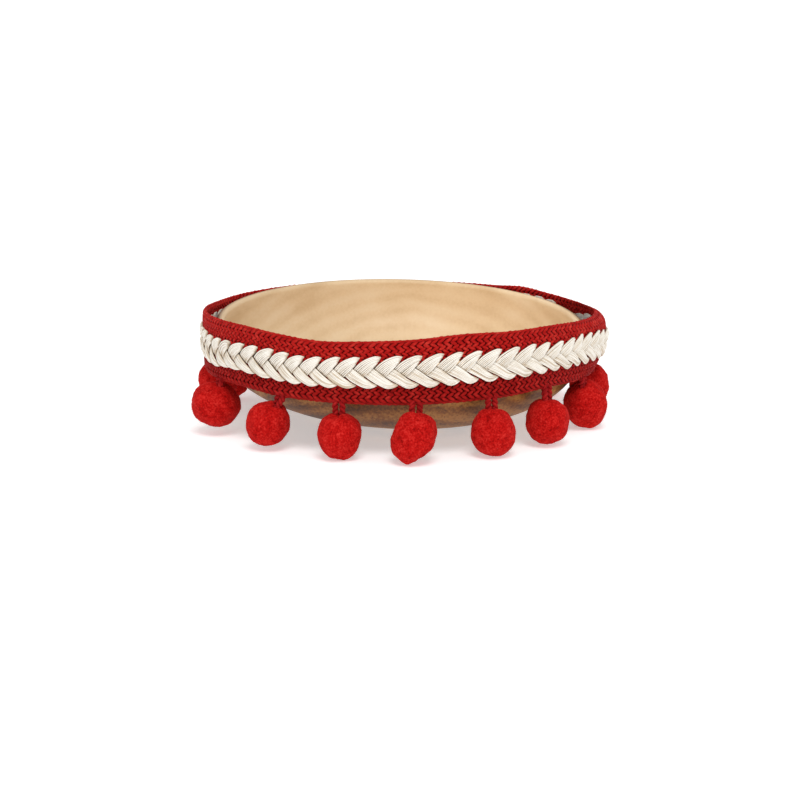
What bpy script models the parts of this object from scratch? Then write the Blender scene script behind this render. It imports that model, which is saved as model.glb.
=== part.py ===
"""One turn of pompom trim wound round a shallow turned wooden bowl.

The trim is two flat red braids joined by a white three-strand plait, with felted
pompoms on yarn loops, about 28 mm apart, along its lower edge. The trim goes once
round the bowl's wall, and its two cut ends meet at the back. The bowl stands on a
small level flat under its rounded underside, and its rim leans to the front.

Metres, +Z up, the origin on the surface below the middle of the trim's ring, and
the front of the object towards -Y. An angle round the ring is counted from the
front, towards +X.
"""

import math

import bmesh
import bpy
import numpy as np
from mathutils import Matrix, Vector

MM = 0.001
GAP = 0.3 * MM                     # room kept between pieces that touch in real life
SMOOTH_ANGLE = math.radians(40)    # flatter edges than this are shaded smooth

# ---- the ring of trim ----------------------------------------------------------
RING_RADIUS = 76.0 * MM            # outer face of the red braids
BRAID_THICK = 1.8 * MM
BRAID_CHAMFER = 0.45 * MM          # the braids' long edges are rounded
END_GAP = 1.2 * MM                 # between the two cut ends, at the back
BRAID_STEPS = 96                   # sections along each braid

# The trim's lie round the ring. Its two edges dip and rise because it is soft and
# stands a little loose on the bowl. out_mm carries the whole width outward, belly_mm
# its middle alone: it is drawn in against the rim at the back and bellies out at +X.
TRIM_COLUMNS = ("angle_deg", "lower_mm", "upper_mm", "out_mm", "belly_mm")
TRIM_LIE = (
    (-180, 21.2, 43.2, -2.55, 0.0),
    (-165, 21.1, 43.4, -1.9, 0.0),
    (-148, 21.0, 43.5, -0.7, 0.0),
    (-125, 21.0, 43.1, 0.0, 0.1),
    (-105, 21.1, 42.9, -0.1, 0.3),
    (-88, 21.3, 43.8, -0.1, 0.5),
    (-68, 21.8, 44.3, 0.0, 0.3),
    (-48, 22.1, 44.5, 0.0, 0.0),
    (-36, 21.2, 43.5, 0.0, 0.0),
    (-22, 20.8, 42.2, 0.0, 0.0),
    (-10, 20.7, 42.7, 0.0, 0.0),
    (4, 20.7, 43.5, 0.0, 0.0),
    (18, 21.1, 44.9, 0.0, 0.0),
    (32, 21.5, 44.6, 0.0, 0.0),
    (47, 22.3, 44.6, 0.0, 0.3),
    (62, 21.4, 43.6, 0.3, 1.6),
    (76, 20.9, 42.8, 0.8, 3.4),
    (90, 20.8, 42.6, 1.0, 4.2),
    (106, 20.9, 41.9, 0.8, 2.6),
    (124, 21.0, 42.6, 0.2, 0.7),
    (136, 21.0, 43.7, 0.0, 0.0),
    (146, 21.0, 43.2, -0.5, 0.0),
    (166, 21.2, 43.4, -2.0, 0.0),
)
BELLY_PLACE = 0.62                 # the belly's fullest line, up the trim's width

# ---- the white plait -------------------------------------------------------------
PLAIT_PITCH_COUNT = 67             # petals along each edge of the plait
PETAL_SWELLS = (0.0, 1.0, 0.8)     # valley, crown and shoulder of each petal
PETAL_PLACES = (-1.0, -0.68, -0.34, 0.0, 0.34, 0.68, 1.0)   # points across, tip to tip
PLAIT_CENTRE = 0.504               # its middle, as a share of the trim's width
PLAIT_HALF_WIDTH = 5.7 * MM        # middle to the petals' tips
UPPER_NOTCH = 2.3 * MM             # how far the outline steps in between two tips
LOWER_NOTCH = 1.1 * MM
PLAIT_SLOPE = math.radians(38)     # petals to the run of the trim
PLAIT_CROWN = 1.05 * MM            # top of a petal above the face of the braids
PLAIT_VALLEY = 0.62 * MM           # the same between two petals
PLAIT_WEB_HALF = 3.0 * MM          # half the stretch that joins the two braids
PLAIT_END_FADE = math.radians(9)   # over this the petals turn square to a cut end

# ---- the pompoms -----------------------------------------------------------------
LOOP_STRAND = 2.1 * MM             # across one of a pompom's two yarn strands
LOOP_SPREAD = 2.5 * MM             # between the middles of the two strands
LOOP_CLOSE = 0.84                  # the same where they enter the ball, as a share
LOOP_SINK = 2.2 * MM               # how far the strands run into the ball
BALL_SEGMENTS = 12
BALL_RINGS = 8
HANG_ROUNDS = 4                    # enough to settle a ball's tilt against its height

# One row for each pompom. loop_deg is where its loop leaves the braid, ball_deg and
# out_mm place the ball's middle round the ring and beyond the middle of the braid's
# thickness, and rest_mm is the height of its lowest point.
POMPOM_COLUMNS = ("loop_deg", "ball_deg", "out_mm", "rest_mm", "wide_mm", "tall_mm")
POMPOMS = (
    (-132.0, -133.0, 0.0, 1.2, 15.6, 16.8),
    (-113.0, -113.5, 0.3, 0.2, 15.6, 16.8),
    (-93.5, -97.5, -2.0, 3.8, 15.8, 17.0),
    (-62.0, -63.9, 1.2, 3.0, 19.0, 17.2),
    (-34.0, -38.4, 0.6, 1.3, 16.2, 17.4),
    (-15.4, -15.8, 1.2, 0.0, 16.4, 17.6),
    (4.9, 4.0, 4.8, 0.0, 16.5, 18.8),
    (25.5, 25.9, 2.4, 0.0, 16.6, 18.0),
    (44.6, 46.0, 0.9, 0.8, 16.6, 17.2),
    (67.0, 71.6, 0.0, 0.3, 16.6, 18.6),
    (88.0, 92.5, -0.3, 2.0, 16.2, 18.4),
    (122.0, 122.0, -1.0, 0.8, 15.6, 16.8),
    (143.0, 142.5, 0.4, 0.6, 15.8, 17.0),
    (164.0, 164.5, 0.0, 1.4, 15.6, 16.6),
    (-175.0, -175.5, 0.3, 0.8, 15.8, 17.0),
    (-154.0, -154.0, 0.2, 0.5, 15.8, 17.0),
)

# ---- the bowl --------------------------------------------------------------------
RIM_RADIUS = 71.2 * MM
RIM_HEIGHT = 38.7 * MM             # at the bowl's middle
RIM_RISE_BACK = 0.08               # the rim's plane rises towards the back
RIM_FALL_RIGHT = 0.022             # and falls a little towards +X
RIM_CENTRE = (0.65 * MM, 0.0)
RIM_THICK = 3.4 * MM
RIM_ROUND_STEPS = 4
FOOT_RADIUS = 20.0 * MM            # the level flat that it stands on
FOOT_CENTRE = (8.0 * MM, 2.0 * MM)
OUTSIDE_FLARE = 1.50               # roundness of the outside across and up
OUTSIDE_RISE = 2.71
INSIDE_FLOOR = 5.0 * MM            # the lowest place of the inside
INSIDE_FLARE = 1.75
INSIDE_RISE = 2.75
BOWL_SEGMENTS = 48
OUTSIDE_STEPS = 8
INSIDE_STEPS = 7


def clear_objects():
    """Remove every object, so that the script can be run again."""
    for thing in list(bpy.data.objects):
        bpy.data.objects.remove(thing, do_unlink=True)


def make_material(name, colour, roughness):
    """A plain Principled finish of one colour."""
    material = bpy.data.materials.new(name)
    material.use_nodes = True
    shader = material.node_tree.nodes["Principled BSDF"]
    shader.inputs["Base Color"].default_value = (*colour, 1.0)
    shader.inputs["Roughness"].default_value = roughness
    shader.inputs["Metallic"].default_value = 0.0
    material.diffuse_color = (*colour, 1.0)
    return material


def make_object(name, bm, material):
    """Link the bmesh as a named object with its normals facing out."""
    bmesh.ops.recalc_face_normals(bm, faces=bm.faces)
    mesh = bpy.data.meshes.new(name)
    bm.to_mesh(mesh)
    bm.free()
    mesh.materials.append(material)
    mesh.shade_smooth()
    mesh.set_sharp_from_angle(angle=SMOOTH_ANGLE)
    thing = bpy.data.objects.new(name, mesh)
    bpy.context.scene.collection.objects.link(thing)
    return thing


def lie(angle, column):
    """One column of the trim's lie at an angle, as a smooth closed curve."""
    knots = np.radians([row[0] for row in TRIM_LIE])
    values = np.array([row[TRIM_COLUMNS.index(column)] for row in TRIM_LIE]) * MM
    turned = (angle + math.pi) % (2 * math.pi) - math.pi
    before = int(np.searchsorted(knots, turned, side="right")) - 1
    picks = [(before + step) % len(knots) for step in (-1, 0, 1, 2)]
    gaps = [(knots[b] - knots[a]) % (2 * math.pi) for a, b in zip(picks, picks[1:])]
    back, here, ahead, beyond = (values[pick] for pick in picks)
    share = (turned - knots[before]) / gaps[1]
    slope_here = (ahead - back) / (gaps[0] + gaps[1]) * gaps[1]
    slope_ahead = (beyond - here) / (gaps[1] + gaps[2]) * gaps[1]
    square, cube = share ** 2, share ** 3
    return ((2 * cube - 3 * square + 1) * here + (cube - 2 * square + share) * slope_here
            + (3 * square - 2 * cube) * ahead + (cube - square) * slope_ahead)


def lower_edge(angle):
    """Height of the trim's lower edge."""
    return lie(angle, "lower_mm")


def upper_edge(angle):
    """Height of the trim's upper edge."""
    return lie(angle, "upper_mm")


def plait_line(angle):
    """Height of the plait's middle line."""
    low = lower_edge(angle)
    return low + PLAIT_CENTRE * (upper_edge(angle) - low)


def belly_share(share):
    """How much of the belly there is at a share of the trim's width."""
    if share < BELLY_PLACE:
        return 1 - ((BELLY_PLACE - share) / BELLY_PLACE) ** 2
    return 1 - ((share - BELLY_PLACE) / (1 - BELLY_PLACE)) ** 4


def ring_point(angle, outward, height):
    """A point at an angle of the ring, outward from the braids' outer face."""
    low = lower_edge(angle)
    share = min(max((height - low) / (upper_edge(angle) - low), 0.0), 1.0)
    belly = lie(angle, "belly_mm") * belly_share(share)
    radius = RING_RADIUS + lie(angle, "out_mm") + belly + outward
    return Vector((radius * math.sin(angle), -radius * math.cos(angle), height))


def cut_end():
    """Angle of the trim's cut end; its other end is at minus this angle."""
    return math.pi - 0.5 * END_GAP / RING_RADIUS


def strip_angles(count):
    """Angles of count + 1 sections, from one cut end round the front to the other."""
    return [cut_end() * (2 * step / count - 1) for step in range(count + 1)]


def loft(bm, sections):
    """Skin closed cross-sections into one body and fill its two ends."""
    rings = [[bm.verts.new(point) for point in section] for section in sections]
    size = len(rings[0])
    for ring, following in zip(rings, rings[1:]):
        for index in range(size):
            after = (index + 1) % size
            bm.faces.new((ring[index], ring[after], following[after], following[index]))
    bm.faces.new(rings[0])
    bm.faces.new(list(reversed(rings[-1])))


def braid_section(angle, bottom, top):
    """Rounded rectangle across a braid, from its bottom height to its top one."""
    inner = -BRAID_THICK
    cut = BRAID_CHAMFER
    corners = (
        (0.0, bottom + cut), (0.0, top - cut),
        (-cut, top), (inner + cut, top),
        (inner, top - cut), (inner, bottom + cut),
        (inner + cut, bottom), (-cut, bottom),
    )
    return [ring_point(angle, outward, height) for outward, height in corners]


def make_braids(material):
    """The two red braids, one above the plait's web and one below it."""
    upper = bmesh.new()
    lower = bmesh.new()
    seam = PLAIT_WEB_HALF + GAP
    upper_sections = []
    lower_sections = []
    for angle in strip_angles(BRAID_STEPS):
        line = plait_line(angle)
        upper_sections.append(braid_section(angle, line + seam, upper_edge(angle)))
        lower_sections.append(braid_section(angle, lower_edge(angle), line - seam))
    loft(upper, upper_sections)
    loft(lower, lower_sections)
    make_object("braid_upper", upper, material)
    make_object("braid_lower", lower, material)


def plait_section(angle, step):
    """Across the plait: petals outside, the flange under them and the web behind.

    Sections follow the petals, so each point's angle runs on with its distance from
    the middle line, and less so near the cut ends. The lower row's petals lie one
    step behind the upper row's.
    """
    points = []
    for share in PETAL_PLACES:
        swell = PETAL_SWELLS[(step - (share < 0)) % len(PETAL_SWELLS)]
        notch = LOWER_NOTCH if share < 0 else UPPER_NOTCH
        across = share * (PLAIT_HALF_WIDTH - notch * (1 - swell))
        lift = PLAIT_VALLEY + (PLAIT_CROWN - PLAIT_VALLEY) * swell
        if share == 0.0:
            lift = 0.5 * (PLAIT_VALLEY + PLAIT_CROWN)
        if abs(share) == 1.0:
            lift = GAP
        points.append((across, lift))
    points += [(PLAIT_WEB_HALF, GAP), (PLAIT_WEB_HALF, -BRAID_THICK)]
    points += [(-PLAIT_WEB_HALF, -BRAID_THICK), (-PLAIT_WEB_HALF, GAP)]
    fade = min((cut_end() - abs(angle)) / PLAIT_END_FADE, 1.0)
    placed = []
    for across, lift in points:
        here = angle + fade * abs(across) / math.tan(PLAIT_SLOPE) / RING_RADIUS
        placed.append(ring_point(here, lift, plait_line(here) + across))
    return placed


def make_plait(material):
    """The white plait, one body from cut end to cut end."""
    bm = bmesh.new()
    angles = strip_angles(PLAIT_PITCH_COUNT * len(PETAL_SWELLS))
    loft(bm, [plait_section(angle, step) for step, angle in enumerate(angles)])
    make_object("plait", bm, material)


def pompom_frame(row):
    """Places of a pompom: its loop's root, its ball's middle and the way it hangs."""
    values = dict(zip(POMPOM_COLUMNS, row))
    loop_angle = math.radians(values["loop_deg"])
    ball_angle = math.radians(values["ball_deg"])
    mid_face = -0.5 * BRAID_THICK
    root = ring_point(loop_angle, mid_face, lower_edge(loop_angle) - GAP)
    wide = 0.5 * values["wide_mm"] * MM
    tall = 0.5 * values["tall_mm"] * MM
    flat_middle = ring_point(ball_angle, mid_face + values["out_mm"] * MM, 0.0)
    reach = tall
    for _ in range(HANG_ROUNDS):
        middle = flat_middle + Vector((0.0, 0.0, values["rest_mm"] * MM + reach))
        hang = (root - middle).normalized()
        reach = math.sqrt((tall * hang.z) ** 2 + wide ** 2 * (1 - hang.z ** 2))
    return root, middle, hang, wide, tall, loop_angle


def make_ball(middle, hang, wide, tall):
    """The felted ball, an egg of turned rings with its long axis along the hang."""
    bm = bmesh.new()
    bmesh.ops.create_uvsphere(bm, u_segments=BALL_SEGMENTS, v_segments=BALL_RINGS, radius=1.0)
    size = Matrix.Diagonal((wide, wide, tall, 1.0))
    turn = hang.to_track_quat("Z", "Y").to_matrix().to_4x4()
    bm.transform(Matrix.Translation(middle) @ turn @ size)
    bmesh.ops.triangulate(bm, faces=bm.faces)
    return bm


def make_strands(root, middle, hang, tall, loop_angle):
    """The two yarn strands from the braid's edge into the top of the ball."""
    bm = bmesh.new()
    along = Vector((math.cos(loop_angle), math.sin(loop_angle), 0.0))
    outward = Vector((math.sin(loop_angle), -math.cos(loop_angle), 0.0))
    half = 0.5 * LOOP_STRAND
    target = middle + hang * (tall - LOOP_SINK)
    for side in (-1, 1):
        sections = []
        for base, spread in ((root, LOOP_SPREAD), (target, LOOP_CLOSE * LOOP_SPREAD)):
            centre = base + along * (0.5 * side * spread)
            corners = ((-half, 0), (0, -half), (half, 0), (0, half))
            sections.append([centre + along * a + outward * b for a, b in corners])
        loft(bm, sections)
    return bm


def make_pompoms(material):
    """Every pompom: its ball and its two strands joined into one body."""
    for number, row in enumerate(POMPOMS, start=1):
        root, middle, hang, wide, tall, loop_angle = pompom_frame(row)
        name = f"pompom_{number:02d}"
        ball = make_object(name, make_ball(middle, hang, wide, tall), material)
        strands = make_object(
            name + "_strands", make_strands(root, middle, hang, tall, loop_angle), material)
        strands.hide_render = True
        strands.display_type = "WIRE"
        union = ball.modifiers.new("loop", "BOOLEAN")
        union.operation = "UNION"
        union.solver = "EXACT"
        union.use_self = True
        union.object = strands


def rim_height(radius, angle):
    """Height of the leaning rim's plane above a place of the bowl."""
    across = radius * math.sin(angle)
    deep = -radius * math.cos(angle)
    return RIM_HEIGHT + RIM_RISE_BACK * deep - RIM_FALL_RIGHT * across


def bowl_wall(rim_radius, middle_radius, bottom, flare, rise, steps):
    """Rings of a bowl's face from its rim to its foot, a rounded quarter of an oval.

    The face's rings slide from the rim's middle to the foot's, and their lean fades
    with their height, so that the last ring is level.
    """
    rings = []
    for step in range(steps + 1):
        turn = 0.5 * math.pi * step / steps
        flat = max(math.cos(turn), 0.0) ** (2 / flare)
        high = 1 - math.sin(turn) ** (2 / rise)
        radius = middle_radius + (rim_radius - middle_radius) * flat
        centre_x = FOOT_CENTRE[0] + (RIM_CENTRE[0] - FOOT_CENTRE[0]) * flat
        centre_y = FOOT_CENTRE[1] + (RIM_CENTRE[1] - FOOT_CENTRE[1]) * flat
        ring = []
        for segment in range(BOWL_SEGMENTS):
            angle = 2 * math.pi * segment / BOWL_SEGMENTS
            top = rim_height(rim_radius, angle) - 0.5 * RIM_THICK
            height = bottom + (top - bottom) * high
            ring.append(Vector((centre_x + radius * math.sin(angle),
                                centre_y - radius * math.cos(angle), height)))
        rings.append(ring)
    return rings


def make_bowl(material):
    """The turned bowl: outside, rounded rim and inside, closed at foot and floor."""
    half_rim = 0.5 * RIM_THICK
    outside = bowl_wall(
        RIM_RADIUS, FOOT_RADIUS, 0.0, OUTSIDE_FLARE, OUTSIDE_RISE, OUTSIDE_STEPS)
    inside = bowl_wall(
        RIM_RADIUS - RIM_THICK, 0.0, INSIDE_FLOOR, INSIDE_FLARE, INSIDE_RISE, INSIDE_STEPS)
    rim = []
    for step in range(1, RIM_ROUND_STEPS):
        turn = math.pi * step / RIM_ROUND_STEPS
        radius = RIM_RADIUS - half_rim + half_rim * math.cos(turn)
        ring = []
        for segment in range(BOWL_SEGMENTS):
            angle = 2 * math.pi * segment / BOWL_SEGMENTS
            height = rim_height(radius, angle) - half_rim + half_rim * math.sin(turn)
            ring.append(Vector((RIM_CENTRE[0] + radius * math.sin(angle),
                                RIM_CENTRE[1] - radius * math.cos(angle), height)))
        rim.append(ring)
    bm = bmesh.new()
    floor = inside.pop()[0]
    profile = list(reversed(outside)) + rim + inside
    rings = [[bm.verts.new(point) for point in ring] for ring in profile]
    for ring, following in zip(rings, rings[1:]):
        for index in range(BOWL_SEGMENTS):
            after = (index + 1) % BOWL_SEGMENTS
            bm.faces.new((ring[index], ring[after], following[after], following[index]))
    bm.faces.new(list(reversed(rings[0])))
    pole = bm.verts.new(floor)
    last = rings[-1]
    for index in range(BOWL_SEGMENTS):
        bm.faces.new((last[index], last[(index + 1) % BOWL_SEGMENTS], pole))
    make_object("bowl", bm, material)


def main():
    clear_objects()
    red_yarn = make_material("red_yarn", (0.38, 0.012, 0.018), 0.8)
    white_cotton = make_material("white_cotton", (0.84, 0.81, 0.73), 0.8)
    red_felt = make_material("red_felt", (0.50, 0.008, 0.012), 0.95)
    turned_wood = make_material("turned_wood", (0.72, 0.50, 0.28), 0.5)
    make_bowl(turned_wood)
    make_braids(red_yarn)
    make_plait(white_cotton)
    make_pompoms(red_felt)


main()
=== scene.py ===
"""Finish of one turn of pompom trim wound round a shallow turned wooden bowl.

The trim is worked out flat, as it lies on a table, and then carried round the ring.
A place on the flat trim has three numbers, in metres: along, from the front towards
+X; up, from the plait's middle line; and out, beyond the red braids' outer face.
Every yarn is a tube along its own path through the braid or plait that it belongs to.
"""

import math

import bpy
import numpy as np
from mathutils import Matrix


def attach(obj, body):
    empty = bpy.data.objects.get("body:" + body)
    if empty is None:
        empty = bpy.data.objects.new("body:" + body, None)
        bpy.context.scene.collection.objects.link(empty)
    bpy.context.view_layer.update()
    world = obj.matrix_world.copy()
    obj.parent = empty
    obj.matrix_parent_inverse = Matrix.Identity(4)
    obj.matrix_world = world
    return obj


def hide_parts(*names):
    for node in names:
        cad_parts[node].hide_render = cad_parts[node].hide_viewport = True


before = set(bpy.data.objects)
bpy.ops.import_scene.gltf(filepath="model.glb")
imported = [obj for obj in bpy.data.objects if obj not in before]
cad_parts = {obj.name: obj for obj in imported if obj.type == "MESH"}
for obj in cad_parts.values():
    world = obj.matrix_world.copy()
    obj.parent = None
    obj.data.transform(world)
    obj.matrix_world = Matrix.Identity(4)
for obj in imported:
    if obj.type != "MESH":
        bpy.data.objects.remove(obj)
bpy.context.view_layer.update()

MM = 0.001
TURN = 2 * math.pi
GAP = 0.3 * MM  # room between pieces that touch in real life
DRIFT_VALUES = 4001  # before a drift repeats itself

# ---- the ring of trim ----
RING_RADIUS = 76.0 * MM  # outer face of the red braids
END_GAP = 1.2 * MM  # between the two cut ends, at the back
HALF_RUN = (math.pi - 0.5 * END_GAP / RING_RADIUS) * RING_RADIUS
TRIM_COLUMNS = ("angle_deg", "lower_mm", "upper_mm", "out_mm", "belly_mm")
TRIM_LIE = (
    (-180, 21.2, 43.2, -2.55, 0.0),
    (-165, 21.1, 43.4, -1.9, 0.0),
    (-148, 21.0, 43.5, -0.7, 0.0),
    (-125, 21.0, 43.1, 0.0, 0.1),
    (-105, 21.1, 42.9, -0.1, 0.3),
    (-88, 21.3, 43.8, -0.1, 0.5),
    (-68, 21.8, 44.3, 0.0, 0.3),
    (-48, 22.1, 44.5, 0.0, 0.0),
    (-36, 21.2, 43.5, 0.0, 0.0),
    (-22, 20.8, 42.2, 0.0, 0.0),
    (-10, 20.7, 42.7, 0.0, 0.0),
    (4, 20.7, 43.5, 0.0, 0.0),
    (18, 21.1, 44.9, 0.0, 0.0),
    (32, 21.5, 44.6, 0.0, 0.0),
    (47, 22.3, 44.6, 0.0, 0.3),
    (62, 21.4, 43.6, 0.3, 1.6),
    (76, 20.9, 42.8, 0.8, 3.4),
    (90, 20.8, 42.6, 1.0, 4.2),
    (106, 20.9, 41.9, 0.8, 2.6),
    (124, 21.0, 42.6, 0.2, 0.7),
    (136, 21.0, 43.7, 0.0, 0.0),
    (146, 21.0, 43.2, -0.5, 0.0),
    (166, 21.2, 43.4, -2.0, 0.0),
)
BELLY_PLACE = 0.62  # the belly's fullest line, up the trim's width
PLAIT_CENTRE = 0.504  # the plait's middle, as a share of the trim's width
BRAID_THICK = 1.8 * MM

# ---- the red flat braids ----
BRAID_YARNS = 13
BRAID_PITCH = 2.45 * MM  # from one yarn to the next, along an edge
BRAID_CORNER = 0.985  # how sharply a yarn turns at the braid's edge
BRAID_YARN_WIDE = 1.34 * MM
BRAID_YARN_THICK = 0.90 * MM
BRAID_YARN_NIP = 0.34  # share of its width that a yarn loses where it dives
BRAID_OVER = 0.45 * MM  # a yarn's rise or fall from the middle of the braid
BRAID_INNER_EDGE = 2.1 * MM  # from the plait's line to where the braids begin
BRAID_LOWER_SAG = 0.8 * MM  # the lower braid's edge yarns hang this much below its lie
FILLER_YARNS = 7  # flat straight yarns inside each braid
FILLER_THICK = 0.3 * MM
FILLER_INSET = 0.2 * MM  # from the braid's edge to its first filler
FILLER_LAP = 1.1  # a filler's width, in shares of its own lane
FILLER_STEP = 2.6 * MM
YARN_STEP = 0.45 * MM
YARN_SIDES = 6
# A yarn's chance differences: how much, over what length, and its seeds' first number.
YARN_SLIP = (0.22 * MM, 11 * MM, 0)  # along the braid
YARN_STRAY = (0.09 * MM, 3.1 * MM, 500)  # across it
YARN_SWELL = (0.10, 2.3 * MM, 900)  # in width
WEAVE_FLAT = 2.1  # how long a yarn stays on top before it dives
WEAVE_TURN = 6  # how quickly it changes faces at the braid's edge
WEAVE_EDGE = 8  # how near the edge it is at its full width again
EDGE_UNSHADED = (1.0 * MM, 0.65 * MM)  # how far in from a braid's edge no painted shade falls, and the fade
YARN_SIDE_SHADE = (0.75, 0.7)  # painted shade on a yarn's sides: full bright from this crown(), this bright at none

# ---- the white plait ----
PETALS = 67  # petals along each edge of the plait
PETAL_PITCH = 2 * HALF_RUN / PETALS
STRAND_THREADS = 8
THREAD_ACROSS = 0.60 * MM
THREAD_SIDES = 8
THREAD_STRAY = np.array([0.035, 0.035, 0.075]) * MM  # along, up, out
# A thread's chance differences, as a yarn's: in width and in how much darker it is.
THREAD_SWELL = (0.06, 2.0 * MM, 0)
THREAD_SHADE = (0.3, 7.0 * MM, 300)
LOWER_SHADE = 1.3  # how much darker still on the lower petals
PLAIT_SEED = 70
SPARE_PETALS = 5  # beyond each of the trim's ends, cut off
# Painted shade across a thread, by crown(): dark up to the first number, plus the second
# on the lower petals; bright from the third. The last is how bright the dark is.
THREAD_CREASE_SHADE = (0.58, 0.17, 0.96, 0.3)
# Painted shade on the plait: dark between these two depths, bright from the third beyond them:
# mm.
PLAIT_SHADE_DEPTHS = (-0.7, -1.5, 0.6)
UPPER_TIP = 5.35 * MM  # height of the upper petals' tips over the line
LOWER_TIP = -4.95 * MM
LOWER_LAG = 1.2 * MM  # a lower tip lies this far behind its upper one
# How far the petals have slipped along the trim, and how far the plait's reverse has
# risen behind the upper braid: degrees round the ring, mm.
PETAL_SLIDE = ((-180, 0.0), (-110, -2.5), (-80, -4.3), (-62, -4.7), (-51, -4.0), (-45, -2.5),
               (-35, -1.4), (-26, -2.2), (-13, -2.9), (0, -2.5), (14, -1.7), (24, -1.7),
               (30, -0.9), (40, 0.7), (51, 1.0), (56, 1.2), (61.5, 0.0), (120, 0.0), (180, 0.0))
# How far the petals' upper and lower tips hang below the even line: degrees, mm, mm.
PETAL_DROP = (
    (-110, 0.0, 0.0), (-96, 0.8, -0.4), (-90, 0.8, -0.6), (-78, 0.0, -1.5), (-69, 0.3, 0.4),
    (-64, 1.1, 1.3), (-59, 1.6, 1.5), (-53, 1.3, 0.9), (-47, 1.3, 0.6), (-41, 0.9, 0.5),
    (-35, 0.4, 0.3), (-30, 0.75, 0.3), (-25, 0.9, 0.1), (-15, 0.4, -0.1), (-5, 0.0, -0.1),
    (8, 0.0, -0.1), (14, 0.0, -0.2), (40, 0.0, -0.3), (46, 0.75, -0.3), (52, 0.6, -0.3),
    (57, 0.0, -0.9), (62, -1.1, -0.9), (67, -0.85, -0.9), (74, -0.2, -0.9), (80, 0.6, -0.6),
    (86, 1.8, 0.0), (95, 1.6, 0.0), (112, 0.0, 0.0))
REVERSE_RISE = ((-180, 0.0), (-125, 0.0), (-118, 1.3), (-80, 1.3), (-70, 0.0), (0, 0.0),
                (80, 0.6), (86, 1.9), (95, 1.8), (101, 1.1), (108, -1.5), (116, -1.2),
                (121, 2.3), (134, 2.3), (142, 0.0), (180, 0.0))
REVERSE_DEPTH = -1.0  # mm: the reverse rises behind this, in full 1 mm deeper
# Guide lines of a petal, from its covered left end to its tip, in mm from the tip.
UPPER_OUTER = ((-9.15, -3.95), (-7.2, -2.0), (-5.2, -0.72), (-3.3, 0.02), (-1.6, 0.38),
               (0.0, 0.0))
UPPER_INNER = ((-5.65, -7.15), (-4.4, -5.9), (-3.5, -4.9), (-2.6, -3.8), (-1.7, -2.7))
LOWER_INNER = ((-8.85, 6.27), (-6.8, 4.85), (-4.9, 3.3), (-3.6, 2.15), (-2.3, 1.05))
# The lower petals' outer edge is flat at the left, round in front and straight with a
# blunt end at the right: three lines, and the degrees over which one goes into the next.
LOWER_OUTERS = (
    ((-11.1, 3.2), (-9.15, 1.65), (-7.15, 0.5), (-4.6, 0.0), (-2.2, -0.25), (0.0, 0.0)),
    ((-11.1, 3.25), (-9.15, 1.7), (-7.15, 0.55), (-5.2, -0.35), (-3.1, -0.9), (-1.2, -0.55),
     (0.0, 0.0)),
    ((-11.5, 3.1), (-10.1, 2.3), (-8.7, 1.55), (-6.9, 0.5), (-3.1, -1.3), (-1.3, -0.85),
     (0.0, 0.0)))
LOWER_OUTER_AT = (-45.0, -18.0, 4.0, 14.0)
PETAL_HEIGHTS = (-0.10, 0.38, 0.70, 0.82, 0.72, 0.42)  # mm, covered end to tip
PETAL_EDGE_FALL = 0.36  # mm that a petal's long edges lie below its middle
PETAL_ROUND = (2.4, 0.35)  # how late it falls, and its share at the covered end
PETAL_STEPS = 12
# Chance differences of the petals' tips: mm and seed for the upper and the lower tip
# along the trim, then for the upper and the lower tip up it.
TIP_STRAYS = ((0.22, 41), (0.22, 43), (0.16, 45), (0.12, 47))
# Places behind the braids, each a shift from the tip or from the covered end and a
# depth, in mm: through the braid's yarns, the turn beyond the tip, and the way across.
BACK_OF_TIP = (((-0.30, -0.15), -0.35), ((-0.10, 0.40), -1.80), ((1.0, 0.80), -2.15),
               ((3.6, 0.85), -2.25), ((5.9, 0.2), -2.35), ((6.6, -1.6), -2.35))
BACK_OF_END = (((-0.5, -0.55), -0.85), ((-1.3, -1.5), -1.9))

# ---- the pompoms ----
LOOP_SPREAD = 2.5 * MM  # between the two strands' middles at the braid
LOOP_CLOSE = 0.84  # the share of that which is left at the ball
LOOP_BOW = 0.18 * MM  # how far each strand bows out half way
LOOP_TUCK = 0.9 * MM  # how far the strands go up into the braid
LOOP_SINK = 2.2 * MM  # and down into the ball
LOOP_STEPS = 30
LOOP_TWISTS = {5: -52.0}  # degrees that a loop is twisted on its way to its ball
HANG_ROUNDS = 4  # rounds in which a ball's height is worked out
# Degrees of the loop and of the ball round the ring, then mm: how far the ball stands
# out from the braid and up from the floor, its width and its height.
POMPOMS = (
    (-132.0, -133.0, 0.0, 1.2, 15.6, 16.8),
    (-113.0, -113.5, 0.3, 0.2, 15.6, 16.8),
    (-93.5, -97.5, -2.0, 3.8, 15.8, 17.0),
    (-62.0, -63.9, 1.2, 3.0, 19.0, 17.2),
    (-34.0, -38.4, 0.6, 1.3, 16.2, 17.4),
    (-16.2, -15.8, 1.2, 0.0, 16.4, 17.6),
    (4.9, 4.0, 4.8, 0.0, 16.5, 18.8),
    (26.2, 25.9, 2.4, 0.0, 16.6, 18.0),
    (46.2, 46.0, 0.9, 0.8, 16.6, 17.2),
    (67.0, 71.3, -0.3, 0.3, 17.2, 19.3),
    (88.0, 92.3, -0.2, 2.8, 16.3, 18.5),
    (122.0, 122.0, -1.0, 0.8, 15.6, 16.8),
    (143.0, 142.5, 0.4, 0.6, 15.8, 17.0),
    (164.0, 164.5, 0.0, 1.4, 15.6, 16.6),
    (-175.0, -175.5, 0.3, 0.8, 15.8, 17.0),
    (-154.0, -154.0, 0.2, 0.5, 15.8, 17.0),
)
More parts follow.
